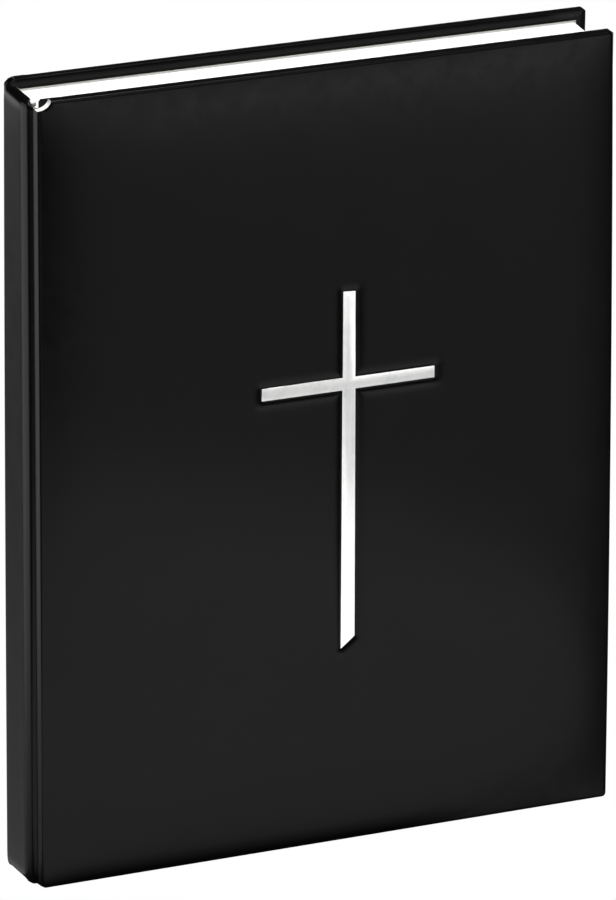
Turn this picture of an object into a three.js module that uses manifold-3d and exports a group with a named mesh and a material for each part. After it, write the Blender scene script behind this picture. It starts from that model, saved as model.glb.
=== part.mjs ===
// A padded, case-bound book standing on its tail edge.
// Millimetres, +Z up. The spine faces -X, the front cover faces -Y, and the origin is the centre of
// the book's footprint, on the surface that it stands on.
import * as THREE from 'three';
import { mergeVertices } from 'three/addons/utils/BufferGeometryUtils.js';
import Module from 'manifold-3d';

const wasm = await Module();
wasm.setup();

// ---- driving dimensions ----
const HEIGHT = 300; // covers, tail to head
const WIDTH = 230; // outer face of the spine to the fore edge of the covers
const EDGE_THICKNESS = 34; // closed book, between the outer planes of the covers at their edges
const CROWN = 1.3; // how far the padding lifts the middle of each cover
const LEATHER = 0.7; // thickness of the covering leather
const GAP = 0.2; // clearance between neighbouring pieces that are glued in life

// covers, as distances inwards from the outer plane at the edge
const COVER_EDGE = 4.35; // inner face of the leather turn-ins
const BOARD_FROM = 2.0;
const BOARD_TO = 3.65;
const PADDING_TO = 1.8;
const PASTEDOWN_FROM = 4.5;
const PASTEDOWN_TO = 4.7;
const TURN_IN = 15; // width of the leather folded over the inside of a board
const PASTEDOWN_MARGIN = 4; // leather left showing around a pastedown
const CORNER_RADIUS = 1.4;
const JOINT_NOTCH = { width: 5.3, depth: 3.4 }; // hollow in a cover's corner beside the spine, at the head

// spine and joints; x offsets are from the joint wall, where the covers begin
const JOINT_WALL_X = -WIDTH / 2 + 3.4;
const SPINE_TAIL = 0.3;
const SPINE_HEAD = HEIGHT - 0.7;
const JOINT_HEAD = HEIGHT - 3; // the joints dip at the head, beside the cut-back corners
const CAP_HEIGHT = 3; // leather rolled over itself at both ends of the spine
const CAP_THICKNESS = 3.5;
const SPINE_RIDGE = 8.4; // distance of the spine's edge behind the outer plane of a cover
const SPINE_SPLIT = 7.0; // where the stiff spine ends and the flexing joint begins
const JOINT_FOOT = 3.5; // depth of the groove beside a cover

// text block
const SQUARE = 4; // how far the covers stand past the block at head and tail
const FORE_SQUARE = 5.5; // and at the fore edge
const BACK_X = JOINT_WALL_X + 0.6; // back of the sewn sections
const LEAF_THICKNESS = 0.3;
const LEAF_PITCH = 0.5;
const FIRST_LEAF = 5.0; // outer face of a flyleaf behind the outer plane of its cover
const LEAF_STAGGER = 1.0; // each deeper leaf turns this much further from the spine
const FLYLEAF_OFFSET = 1.0; // spine-side edge of a flyleaf from the joint wall
const FRONT_LEAVES = 3;
const BACK_LEAVES = 2;
const GATHERINGS = 20;
const GATHERING_GAP = 0.22;

// cross on the front cover, from the joint wall and from the tail
const CROSS_CENTRE_X = JOINT_WALL_X + 120.2;
const CROSS_FOOT_Z = 76.5;
const CROSS_TOP_Z = 214.6;
const CROSS_ARM_Z = 179.6;
const CROSS_ARM_LENGTH = 68.5;
const CROSS_UPRIGHT_WIDTH = 5.6;
const CROSS_ARM_WIDTH = 5.2;
const CROSS_FOOT_SLANT = 4.4; // the foot is cut on a slope
const CROSS_THICKNESS = 0.6;
const CROSS_FIT = 0.3; // clearance round the cross in its pocket

const HALF = EDGE_THICKNESS / 2;
const FRONT = -1;
const BACK = 1;
const FORE_X = WIDTH / 2;

// ---- materials ----
const material = (colour, roughness, metalness = 0) =>
  new THREE.MeshStandardMaterial({ color: colour, roughness, metalness });
const leather = () => material(0x16181a, 0.5);
const metal = () => material(0xdcdcda, 0.3, 1);
const paper = () => material(0xf4f3ee, 0.9);
const endpaper = () => material(0xf1efe8, 0.85);
const greyboard = () => material(0x8e8a82, 0.9);
const foam = () => material(0xf2f2f0, 0.95);
const cloth = () => material(0xe2ddcf, 0.95);
const card = () => material(0xb9b2a2, 0.9);

// ---- shape helpers ----

/** y of a plane that lies `inward` mm inside the outer plane of the front or back cover. */
const depth = (side, inward) => side * (HALF - inward);

/** A closed, merged geometry whose faces point outwards. */
function closed(geometry) {
  const bare = geometry.clone();
  bare.deleteAttribute('normal');
  bare.deleteAttribute('uv');
  const merged = mergeVertices(bare, 1e-5);
  const position = merged.getAttribute('position');
  const index = merged.getIndex();
  const [a, b, c] = [new THREE.Vector3(), new THREE.Vector3(), new THREE.Vector3()];
  let volume = 0;
  for (let i = 0; i < index.count; i += 3) {
    a.fromBufferAttribute(position, index.getX(i));
    b.fromBufferAttribute(position, index.getX(i + 1));
    c.fromBufferAttribute(position, index.getX(i + 2));
    volume += a.dot(b.cross(c));
  }
  if (volume < 0) {
    for (let i = 0; i < index.count; i += 3) {
      const second = index.getX(i + 1);
      index.setX(i + 1, index.getX(i + 2));
      index.setX(i + 2, second);
    }
  }
  return merged;
}

function toManifold(geometry) {
  const merged = closed(geometry);
  return new wasm.Manifold(
    new wasm.Mesh({
      numProp: 3,
      vertProperties: new Float32Array(merged.getAttribute('position').array),
      triVerts: new Uint32Array(merged.getIndex().array),
    }),
  );
}

function fromManifold(solid) {
  const mesh = solid.getMesh();
  const geometry = new THREE.BufferGeometry();
  geometry.setAttribute('position', new THREE.Float32BufferAttribute(mesh.vertProperties, 3));
  geometry.setIndex(new THREE.Uint32BufferAttribute(mesh.triVerts, 1));
  return geometry;
}

function piece(name, geometry, look) {
  const shown = closed(geometry);
  shown.computeVertexNormals();
  const mesh = new THREE.Mesh(shown, look);
  mesh.name = name;
  return mesh;
}

/** Rounded rectangle in the XZ plane as a loop of points; radii run tail-spine, tail-fore, head-fore, head-spine. */
function roundedLoop(x0, z0, x1, z1, radii, steps = 5) {
  const corners = [
    [x0, z0, 1, 1, Math.PI],
    [x1, z0, -1, 1, 1.5 * Math.PI],
    [x1, z1, -1, -1, 0],
    [x0, z1, 1, -1, 0.5 * Math.PI],
  ];
  return corners.flatMap(([x, z, towardX, towardZ, start], corner) => {
    const r = Math.max(radii[corner], 0.1);
    return Array.from({ length: steps + 1 }, (_, i) => {
      const angle = start + (i / steps) * 0.5 * Math.PI;
      const cx = x + towardX * r + r * Math.cos(angle);
      const cz = z + towardZ * r + r * Math.sin(angle);
      return new THREE.Vector2(cx, cz);
    });
  });
}

/** Outline of a cover shrunk by `inset`, with the hollow notch in its corner beside the spine, at the head. */
function coverLoop(inset, cornerRadius = CORNER_RADIUS, steps = 5) {
  const rest = Math.max(cornerRadius - inset, 0.1);
  const radii = [rest, rest, rest, 0.1];
  const loop = roundedLoop(JOINT_WALL_X + inset, inset, FORE_X - inset, HEIGHT - inset, radii, steps);
  const width = JOINT_NOTCH.width + inset;
  const depth = JOINT_NOTCH.depth + inset;
  const start = Math.asin(inset / depth);
  const end = Math.acos(inset / width);
  if (start > end - 0.1) return loop; // this far in, the outline is clear of the notch
  const notch = Array.from({ length: steps + 1 }, (_, i) => {
    const angle = start + (i / steps) * (end - start);
    return new THREE.Vector2(JOINT_WALL_X + width * Math.cos(angle), HEIGHT - depth * Math.sin(angle));
  });
  return [...loop.slice(0, -(steps + 1)), ...notch];
}

/** Solid whose outline changes from level to level; each level is a loop of XZ points at one y. */
function loft(levels) {
  const count = levels[0].loop.length;
  const vertices = levels.flatMap(({ loop, y }) => loop.flatMap((p) => [p.x, y, p.y]));
  const cap = THREE.ShapeUtils.triangulateShape(levels[0].loop, []);
  const last = (levels.length - 1) * count;
  const faces = cap.flatMap(([a, b, c]) => [a, b, c]);
  for (let level = 0; level + 1 < levels.length; level += 1) {
    for (let i = 0; i < count; i += 1) {
      const j = (i + 1) % count;
      const low = level * count;
      const high = low + count;
      faces.push(low + i, high + i, high + j, low + i, high + j, low + j);
    }
  }
  const topCap = THREE.ShapeUtils.triangulateShape(levels.at(-1).loop, []);
  faces.push(...topCap.flatMap(([a, b, c]) => [last + a, last + c, last + b]));
  const geometry = new THREE.BufferGeometry();
  geometry.setAttribute('position', new THREE.Float32BufferAttribute(vertices, 3));
  geometry.setIndex(faces);
  return geometry;
}

/** Flat slab between two y planes with a rounded outline. */
function slab([x0, z0, x1, z1], y0, y1, radius = 0.2) {
  const loop = roundedLoop(x0, z0, x1, z1, [radius, radius, radius, radius], 3);
  return loft([
    { loop, y: y0 },
    { loop, y: y1 },
  ]);
}

/** Prism along Z with an outline of [x, y] points. */
function prism(points, z0, z1) {
  const shape = new THREE.Shape(points.map(([x, y]) => new THREE.Vector2(x, y)));
  const geometry = new THREE.ExtrudeGeometry(shape, { depth: z1 - z0, bevelEnabled: false });
  return geometry.translate(0, 0, z0);
}

/** Band of constant thickness along a line of [x, y] points, drawn on the left of its direction. */
function band(line, thickness, z0, z1) {
  const offset = line.map(([x, y], i) => {
    const before = line[Math.max(i - 1, 0)];
    const after = line[Math.min(i + 1, line.length - 1)];
    const direction = new THREE.Vector2(after[0] - before[0], after[1] - before[1]).normalize();
    return [x - direction.y * thickness, y + direction.x * thickness];
  });
  return prism([...line, ...offset.reverse()], z0, z1);
}

/** Flat strip facing the spine, `thickness` deep from x. */
const strip = (x, thickness, halfWidth, z0, z1) =>
  prism([[x, -halfWidth], [x + thickness, -halfWidth], [x + thickness, halfWidth], [x, halfWidth]], z0, z1);

// ---- covers ----

/** Levels of a padded cover, shrunk by `shrink` all round and ending at `inner`. */
function coverLevels(side, shrink, inner, innerInset = 0) {
  const rounded = innerInset > 0 ? [[inner - 1.2 * innerInset, shrink]] : [];
  const profile = [
    [inner, shrink + innerInset],
    ...rounded,
    [1.1 + 0.4 * shrink, shrink],
    [0.35 + 0.8 * shrink, 0.4 + 1.2 * shrink],
    [shrink, 1.4 + shrink],
    [shrink - 0.45 * CROWN, 6 + shrink],
    [shrink - 0.85 * CROWN, 14 + shrink],
    [shrink - CROWN, 26 + shrink],
  ];
  return profile.map(([inward, inset]) => ({ loop: coverLoop(inset), y: depth(side, inward) }));
}

/** Outline of the cross in the XZ plane, grown by `margin`. */
function crossLoop(margin) {
  const halfUpright = CROSS_UPRIGHT_WIDTH / 2 + margin;
  const halfArm = CROSS_ARM_WIDTH / 2 + margin;
  const halfLength = CROSS_ARM_LENGTH / 2 + margin;
  const x = CROSS_CENTRE_X;
  return [
    [x - halfUpright, CROSS_FOOT_Z - margin],
    [x + halfUpright, CROSS_FOOT_Z + CROSS_FOOT_SLANT - margin],
    [x + halfUpright, CROSS_ARM_Z - halfArm],
    [x + halfLength, CROSS_ARM_Z - halfArm],
    [x + halfLength, CROSS_ARM_Z + halfArm],
    [x + halfUpright, CROSS_ARM_Z + halfArm],
    [x + halfUpright, CROSS_TOP_Z + margin],
    [x - halfUpright, CROSS_TOP_Z + margin],
    [x - halfUpright, CROSS_ARM_Z + halfArm],
    [x - halfLength, CROSS_ARM_Z + halfArm],
    [x - halfLength, CROSS_ARM_Z - halfArm],
    [x - halfUpright, CROSS_ARM_Z - halfArm],
  ].map(([px, pz]) => new THREE.Vector2(px, pz));
}

function crossSolid(margin, from, to) {
  const loop = crossLoop(margin);
  return loft([
    { loop, y: depth(FRONT, from) },
    { loop, y: depth(FRONT, to) },
  ]);
}

const POCKET_FLOOR = -CROWN + CROSS_THICKNESS + CROSS_FIT;

function coverLeather(side) {
  const turnInFrom = COVER_EDGE - 0.5;
  const window = [JOINT_WALL_X + LEATHER, TURN_IN, FORE_X - TURN_IN, HEIGHT - TURN_IN];
  let shell = toManifold(loft(coverLevels(side, 0, COVER_EDGE, 0.3)))
    .subtract(toManifold(loft(coverLevels(side, LEATHER, turnInFrom))))
    .subtract(toManifold(slab(window, depth(side, turnInFrom - 0.1), depth(side, COVER_EDGE + 0.1))));
  if (side === FRONT) {
    shell = shell
      .add(toManifold(crossSolid(CROSS_FIT + LEATHER, -CROWN, POCKET_FLOOR + LEATHER)))
      .subtract(toManifold(crossSolid(CROSS_FIT, -CROWN - 0.5, POCKET_FLOOR)));
  }
  return fromManifold(shell);
}

function coverPadding(side) {
  let pad = toManifold(loft(coverLevels(side, LEATHER + GAP, PADDING_TO)));
  if (side === FRONT) {
    const cut = crossSolid(CROSS_FIT + LEATHER + GAP, -CROWN - 0.5, POCKET_FLOOR + LEATHER + GAP);
    pad = pad.subtract(toManifold(cut));
  }
  return fromManifold(pad);
}

function cover(side, name) {
  const group = new THREE.Group();
  const boardInset = LEATHER + GAP;
  const boardLoop = coverLoop(boardInset);
  const board = loft([
    { loop: boardLoop, y: depth(side, BOARD_FROM) },
    { loop: boardLoop, y: depth(side, BOARD_TO) },
  ]);
  const pastedownRect = [
    JOINT_WALL_X + 1.5, PASTEDOWN_MARGIN, FORE_X - PASTEDOWN_MARGIN, HEIGHT - PASTEDOWN_MARGIN,
  ];
  const pastedown = slab(pastedownRect, depth(side, PASTEDOWN_FROM), depth(side, PASTEDOWN_TO));
  group.add(
    piece(`${name}_cover_leather`, coverLeather(side), leather()),
    piece(`${name}_padding`, coverPadding(side), foam()),
    piece(`${name}_board`, board, greyboard()),
    piece(`${name}_pastedown`, pastedown, endpaper()),
  );
  return group;
}

// ---- spine and joints ----

/** Outer line of half the spine, from its middle to where the joint begins. */
function spineLine(side) {
  const face = JOINT_WALL_X - 3.4;
  return [
    [face, 0],
    [face, depth(side, SPINE_RIDGE + 0.5)],
    [face + 0.15, depth(side, SPINE_RIDGE - 0.2)],
    [face + 0.55, depth(side, SPINE_RIDGE - 0.9)],
    [face + 0.95, depth(side, SPINE_SPLIT)],
  ];
}

function spineLeather() {
  const outer = [...spineLine(FRONT).reverse(), ...spineLine(BACK).slice(1)];
  let shell = toManifold(band(outer, -LEATHER, SPINE_TAIL, SPINE_HEAD));
  const face = JOINT_WALL_X - 3.4;
  const halfWidth = HALF - SPINE_RIDGE;
  for (const z of [SPINE_TAIL, SPINE_HEAD - CAP_HEIGHT]) {
    const cap = strip(face + 0.5 * LEATHER, CAP_THICKNESS - 0.5 * LEATHER, halfWidth, z, z + CAP_HEIGHT);
    shell = shell.add(toManifold(cap));
  }
  return fromManifold(shell);
}

/** The flexing strip from the spine's edge down to the foot of the cover. */
function jointLeather(side) {
  const line = [
    [JOINT_WALL_X - 2.3, depth(side, SPINE_SPLIT - 0.35)],
    [JOINT_WALL_X - 1.75, depth(side, 5.3)],
    [JOINT_WALL_X - 1.2, depth(side, 4.2)],
    [JOINT_WALL_X - 0.85, depth(side, JOINT_FOOT)],
    [JOINT_WALL_X - 0.45, depth(side, JOINT_FOOT - 0.1)],
  ];
  return band(line, side * LEATHER, SPINE_TAIL, JOINT_HEAD);
}

function spine() {
  const group = new THREE.Group();
  const inside = HALF - SPINE_RIDGE;
  const inlayTail = SPINE_TAIL + CAP_HEIGHT + GAP;
  const inlayHead = SPINE_HEAD - CAP_HEIGHT - GAP;
  group.add(
    piece('spine_leather', spineLeather(), leather()),
    piece('front_joint_leather', jointLeather(FRONT), leather()),
    piece('back_joint_leather', jointLeather(BACK), leather()),
    piece('spine_inlay', strip(JOINT_WALL_X - 2.5, 0.9, inside - 0.4, inlayTail, inlayHead), card()),
    piece('spine_lining', strip(JOINT_WALL_X - 1.3, 0.25, 10, 8, HEIGHT - 8), endpaper()),
    piece('mull', strip(JOINT_WALL_X - 0.85, 0.3, 10.5, 20, HEIGHT - 20), cloth()),
  );
  const tapes = { tail: 70, middle: HEIGHT / 2, head: HEIGHT - 70 };
  for (const [place, z] of Object.entries(tapes)) {
    group.add(piece(`sewing_tape_${place}`, strip(JOINT_WALL_X - 0.3, 0.4, 10.2, z - 7, z + 7), cloth()));
  }
  return group;
}

// ---- text block ----

const blockRect = (x0) => [x0, SQUARE, FORE_X - FORE_SQUARE, HEIGHT - SQUARE];

/** Folded section: a slab whose back edge is a rounded fold. */
function gathering(y0, y1) {
  const radius = (y1 - y0) / 2;
  const middle = (y0 + y1) / 2;
  const fold = Array.from({ length: 7 }, (_, i) => {
    const angle = Math.PI * (0.5 + i / 6);
    return [BACK_X + radius + radius * Math.cos(angle), middle + radius * Math.sin(angle)];
  });
  const fore = FORE_X - FORE_SQUARE;
  return prism([...fold, [fore, y0], [fore, y1]], SQUARE, HEIGHT - SQUARE);
}

function leaves(side, name, count) {
  const group = new THREE.Group();
  for (let i = 0; i <= count; i += 1) {
    const outer = FIRST_LEAF + i * LEAF_PITCH;
    const x0 = JOINT_WALL_X + FLYLEAF_OFFSET + i * LEAF_STAGGER;
    const sheet = slab(blockRect(x0), depth(side, outer), depth(side, outer + LEAF_THICKNESS), 0.15);
    const label = i === 0 ? `${name}_flyleaf` : `${name}_leaf_${i}`;
    group.add(piece(label, sheet, i === 0 ? endpaper() : paper()));
  }
  return group;
}

function gatherings() {
  const group = new THREE.Group();
  const from = depth(FRONT, FIRST_LEAF + (FRONT_LEAVES + 1) * LEAF_PITCH);
  const to = depth(BACK, FIRST_LEAF + (BACK_LEAVES + 1) * LEAF_PITCH);
  const pitch = (to - from) / GATHERINGS;
  for (let i = 0; i < GATHERINGS; i += 1) {
    const y = from + i * pitch;
    const label = `gathering_${String(i + 1).padStart(2, '0')}`;
    group.add(piece(label, gathering(y, y + pitch - GATHERING_GAP), paper()));
  }
  return group;
}

/** Rolled band along the back edge of the block, just past its end. */
function headband(z0, z1) {
  const radius = (z1 - z0) / 2;
  const section = new THREE.Shape();
  section.absarc(0, 0, radius, 0, 2 * Math.PI);
  const roll = new THREE.ExtrudeGeometry(section, { depth: 20, bevelEnabled: false, curveSegments: 12 });
  return roll.rotateX(Math.PI / 2).translate(BACK_X + radius, 10, (z0 + z1) / 2);
}

/** Chain of thread across the backs of the sections, as a row of linked stitches. */
function kettleStitch(z) {
  const profile = Array.from({ length: 2 * GATHERINGS + 1 }, (_, i) => {
    const y = -10 + (20 * i) / (2 * GATHERINGS);
    return [JOINT_WALL_X + (i % 2 ? -0.1 : 0.1), y];
  });
  return band(profile, -0.25, z - 0.3, z + 0.3);
}

function bindingThread() {
  const group = new THREE.Group();
  group.add(
    piece('headband_head', headband(HEIGHT - SQUARE + 0.3, HEIGHT - SQUARE + 2.1), cloth()),
    piece('headband_tail', headband(SQUARE - 2.1, SQUARE - 0.3), cloth()),
    piece('kettle_stitch_head', kettleStitch(HEIGHT - 16), cloth()),
    piece('kettle_stitch_tail', kettleStitch(16), cloth()),
  );
  return group;
}

// ---- the book ----
const cross = piece('cross', crossSolid(0, -CROWN, -CROWN + CROSS_THICKNESS), metal());
const book = new THREE.Group();
book.add(
  cover(FRONT, 'front'),
  cover(BACK, 'back'),
  cross,
  spine(),
  leaves(FRONT, 'front', FRONT_LEAVES),
  leaves(BACK, 'back', BACK_LEAVES),
  gatherings(),
  bindingThread(),
);

export default book;
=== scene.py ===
"""The looks of a padded, case-bound bible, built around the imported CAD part.

Lengths in the helpers are millimetres in the row frame; make_piece turns them into metres.
Covers are laid out with three coordinates: `across` from the joint wall towards the fore edge, `up`
from the tail, and `inward` from the outer plane at the cover's edge towards the text block.
"""

import math

import bmesh
import bpy
import numpy as np
from mathutils import Matrix, Vector


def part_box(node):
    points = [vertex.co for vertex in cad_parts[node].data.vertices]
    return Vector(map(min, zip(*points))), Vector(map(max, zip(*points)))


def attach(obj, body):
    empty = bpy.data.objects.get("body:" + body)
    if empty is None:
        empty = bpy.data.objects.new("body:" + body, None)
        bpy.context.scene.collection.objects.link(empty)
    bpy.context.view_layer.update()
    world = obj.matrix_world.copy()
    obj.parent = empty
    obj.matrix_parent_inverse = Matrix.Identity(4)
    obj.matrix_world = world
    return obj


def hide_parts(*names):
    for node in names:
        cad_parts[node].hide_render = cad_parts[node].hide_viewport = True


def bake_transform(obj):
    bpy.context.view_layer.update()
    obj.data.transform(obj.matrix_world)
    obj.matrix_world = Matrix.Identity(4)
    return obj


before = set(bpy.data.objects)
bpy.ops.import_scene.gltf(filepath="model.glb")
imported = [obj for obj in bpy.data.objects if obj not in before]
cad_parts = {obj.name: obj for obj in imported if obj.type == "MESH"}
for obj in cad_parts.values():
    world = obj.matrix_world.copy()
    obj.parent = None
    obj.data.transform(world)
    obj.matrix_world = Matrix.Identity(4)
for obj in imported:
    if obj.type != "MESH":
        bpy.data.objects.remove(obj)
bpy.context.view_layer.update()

MM = 0.001
FRONT, BACK = -1, 1

# ---- sizes read from the frame ----


def box_mm(node):
    low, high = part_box(node)
    return low / MM, high / MM


cover_low, cover_high = box_mm("front_cover_leather")
block_low, block_high = box_mm("gathering_10")
spine_low, spine_high = box_mm("spine_leather")
cross_low, cross_high = box_mm("cross")

CROWN = 1.3  # lift of the padded middle over the cover's edge
WALL_X = cover_low.x  # joint wall, where the covers begin
COVER_WIDTH = cover_high.x - cover_low.x
HEIGHT = cover_high.z
HALF = -cover_low.y - CROWN  # half the thickness of the closed book at its edges
COVER_EDGE = HALF + cover_high.y  # thickness of a cover at its edges
SPINE_FACE = spine_low.x - WALL_X

# ---- details of the leather case ----
EDGE_RADIUS = 1.4  # width of the rounding along a cover's edges
EDGE_DROP = 1.2  # and its depth
CORNER_RADIUS = 1.6
CROWN_REACH = 10.5  # the crown comes up over about this distance from the edges
WALL_SLANT = 0.16  # lean of the wall beside the joint, per mm of depth
WALL_SLANT_REACH = 3.0  # distance across over which the lean fades
TURN_IN = 15.0  # width of the leather folded behind the board
FOAM_OUTER = 0.5  # foam between these depths shows in the notch
FOAM_INNER = 3.6
FOAM_UNDER = 1.95  # depth of the foam's inner face on the board
FOAM_INSET = 0.75  # thickness of the leather over the foam, and clearance from its walls
FOAM_WRAP = 0.8  # the foam wraps the board's corner within this distance of the notch
FOAM_BARE = 0.6  # thickness lost by the leather beside the notch
FOAM_BARE_REACH = 0.5
PASTEDOWN_MARGIN = 4.0
PASTEDOWN_THICK = 0.12

# notch at the head, in the corner beside the joint: its extent across and down
NOTCH_SIZE = {FRONT: (5.3, 3.4), BACK: (2.6, 1.8)}
NOTCH_PATCH = 12.0  # side of the square whose mesh fans out from the notch
NOTCH_LIP = 0.7  # width of the rounding round the notch
NOTCH_FLATTENING = 0.8  # share of the crown lost beside the notch
NOTCH_REACH = 5.0
TAB_FOOT = 293.0  # lower end of the turned-in leather behind the notch

# dip in the padding round the cross, and the pocket under it
CROSS_DIP = 0.85
CROSS_REACH = 1.2
CROSS_POCKET = 0.25

# spine and joints
SPINE_RIDGE = 8.6  # depth of the spine's edge behind the outer plane of a cover
SPINE_CAP = 4.7  # thickness of the leather rolled over itself at head and tail
RIDGE_CAP = 2.8  # the same at the spine's edges
SPINE_BULGE = 0.06
SPINE_EDGE_START = 6.5  # the spine's ends change from this distance off its middle
SPINE_EDGE_SPAN = 3.4  # over this distance, and at its edges they
SPINE_EDGE_HANG = 0.25  # hang this much lower at the tail
SPINE_EDGE_DIP = 0.5  # and stand this much lower at the head
JOINT_CAP = 0.9  # thickness of the joint's rolled ends beside the cover
JOINT_RISE = 0.75  # the joint's tail end rises by this much towards the cover
JOINT_DIP = {FRONT: 1.6, BACK: 0.3}  # and its head end drops by this much
JOINT_LINE = [
    (-3.10, 7.80), (-2.84, 7.05), (-2.58, 6.35), (-2.33, 5.70), (-2.08, 5.12), (-1.80, 4.68),
    (-1.45, 4.40), (-1.10, 4.18), (-0.80, 4.00), (-0.52, 3.84), (-0.25, 3.78),
]  # from the spine's ridge to the foot of the cover's wall, as (across, inward)

# lean of the closed case
RACK = 1.75  # each cover has slid this far at the head of its fore edge
RACK_AT_SPINE = 0.15  # share of that at the spine
FORE_SPREAD = 1.3  # the front cover's fore edge stands out by this much at the tail
BACK_SHIFT = (-0.35, 0.40)  # shift of the spine's back half at tail and head
BACK_SHIFT_START = -4  # the shift grows from this y
BACK_SHIFT_SPAN = 12  # over this distance

# ---- details of the meshes ----
WELD = 2e-6  # metres within which points are joined
SHARP_ANGLE = math.radians(55)
CLOSEST_LINES = 0.09  # of two grid lines nearer than this, one is left out
WIDEST_CELL = 4.5
SEED = 7


# ---- mesh helpers ----


def smoothstep(value):
    t = min(max(value, 0.0), 1.0)
    return t * t * (3 - 2 * t)


def racked(point):
    """The case leans a little: towards the head, the front slides to the spine and the back away."""
    x, y, z = point
    across = min(max((x - WALL_X) / COVER_WIDTH, 0.0), 1.0)
    rise = max(z / HEIGHT, 0.0) ** 2
    lean = (RACK_AT_SPINE + (1 - RACK_AT_SPINE) * across) * RACK * (y / HALF) * rise
    spread = FORE_SPREAD * across ** 2 * max(-y / HALF, 0.0) * (1 - rise)
    at_tail, at_head = BACK_SHIFT
    back_share = min(max((y - BACK_SHIFT_START) / BACK_SHIFT_SPAN, 0.0), 1.0) * (1 - across)
    shift = ((at_head - at_tail) * rise + at_tail) * back_share
    return x + lean + spread + shift, y, z


def make_piece(name, points, faces, material, smooth=True):
    """A mesh object from points in mm, with doubled points joined and empty faces removed."""
    mesh = bpy.data.meshes.new(name)
    mesh.from_pydata([[c * MM for c in racked(p)] for p in points], [], faces)
    tidy = bmesh.new()
    tidy.from_mesh(mesh)
    bmesh.ops.remove_doubles(tidy, verts=tidy.verts, dist=WELD)
    bmesh.ops.dissolve_degenerate(tidy, edges=tidy.edges, dist=WELD / 2)
    tidy.to_mesh(mesh)
    tidy.free()
    mesh.polygons.foreach_set("use_smooth", [smooth] * len(mesh.polygons))
    mesh.set_sharp_from_angle(angle=SHARP_ANGLE)
    mesh.materials.append(material)
    piece = bpy.data.objects.new(name, mesh)
    bpy.context.scene.collection.objects.link(piece)
    return piece


def face_outwards(piece):
    """Turns the faces of a closed mesh outwards, and returns it."""
    solid = bmesh.new()
    solid.from_mesh(piece.data)
    bmesh.ops.recalc_face_normals(solid, faces=solid.faces)
    solid.to_mesh(piece.data)
    solid.free()
    return piece


def apply_modifier(piece, kind, **settings):
    modifier = piece.modifiers.new(kind.lower(), kind)
    for key, value in settings.items():
        setattr(modifier, key, value)
    bpy.context.view_layer.objects.active = piece
    with bpy.context.temp_override(object=piece, active_object=piece, selected_objects=[piece]):
        bpy.ops.object.modifier_apply(modifier=modifier.name)


def grid_faces(rows, columns, flip=False, closed=False):
    """Quads of a grid stored row after row; `closed` joins its last column to its first."""
    faces = []
    for r in range(rows - 1):
        for c in range(columns if closed else columns - 1):
            d = (c + 1) % columns
            quad = [r * columns + c, r * columns + d, (r + 1) * columns + d, (r + 1) * columns + c]
            faces.append(quad[::-1] if flip else quad)
    return faces


def flipped(faces, flip):
    return [list(reversed(f)) for f in faces] if flip else [list(f) for f in faces]


# ---- materials ----


class Graph:
    """A node tree and short ways to add nodes to it."""

    def __init__(self, tree):
        self.tree = tree

    def add(self, kind, inputs=None, **settings):
        node = self.tree.nodes.new(kind)
        for key, value in settings.items():
            setattr(node, key, value)
        for key, value in (inputs or {}).items():
            if isinstance(value, bpy.types.NodeSocket):
                self.tree.links.new(value, node.inputs[key])
            else:
                node.inputs[key].default_value = value
        return node

    def math(self, operation, first, second):
        return self.add("ShaderNodeMath", {0: first, 1: second}, operation=operation).outputs[0]

    def spread(self, value, low, high, to_low, to_high):
        """A value remapped from one range to another."""
        limits = {"Value": value, 1: low, 2: high, 3: to_low, 4: to_high}
        return self.add("ShaderNodeMapRange", limits).outputs["Result"]

    def colours(self, value, *stops):
        """A colour ramp: stops of (position, colour)."""
        ramp = self.add("ShaderNodeValToRGB", {"Fac": value})
        elements = ramp.color_ramp.elements
        while len(elements) < len(stops):
            elements.new(0.5)
        for element, (position, colour) in zip(elements, stops):
            element.position = position
            element.color = (*colour, 1)
        return ramp.outputs["Color"]

    def for_camera(self, others, shown):
        """One shader for the camera's own rays and another for all the rest."""
        ray = self.add("ShaderNodeLightPath").outputs["Is Camera Ray"]
        values = {"Fac": ray, 1: others.outputs[0], 2: shown.outputs[0]}
        return self.add("ShaderNodeMixShader", values).outputs[0]


class Shader(Graph):
    """The node tree of a new Principled material."""

    def __init__(self, name, **values):
        self.material = bpy.data.materials.new(name)
        self.material.use_nodes = True
        super().__init__(self.material.node_tree)
        self.main = self.tree.nodes["Principled BSDF"]
        for key, value in values.items():
            self.main.inputs[key.replace("_", " ")].default_value = value

    def link(self, output, name):
        self.tree.links.new(output, self.main.inputs[name])

    def coordinates(self, scale=(1000, 1000, 1000)):
        """Object coordinates, in millimetres by default."""
        source = self.add("ShaderNodeTexCoord").outputs["Object"]
        mapping = self.add("ShaderNodeMapping", {"Vector": source, "Scale": scale})
        return mapping.outputs["Vector"]

    def noise(self, vector, scale, detail=3, roughness=0.55):
        values = {"Vector": vector, "Scale": scale, "Detail": detail, "Roughness": roughness}
        return self.add("ShaderNodeTexNoise", values).outputs["Fac"]

    def cells(self, vector, scale):
        """Distance to the walls of irregular cells."""
        values = {"Vector": vector, "Scale": scale}
        node = self.add("ShaderNodeTexVoronoi", values, feature="DISTANCE_TO_EDGE")
        return node.outputs["Distance"]

    def bump(self, height, strength, distance_mm):
        values = {"Height": height, "Strength": strength, "Distance": distance_mm * MM}
        self.link(self.add("ShaderNodeBump", values).outputs["Normal"], "Normal")


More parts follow.
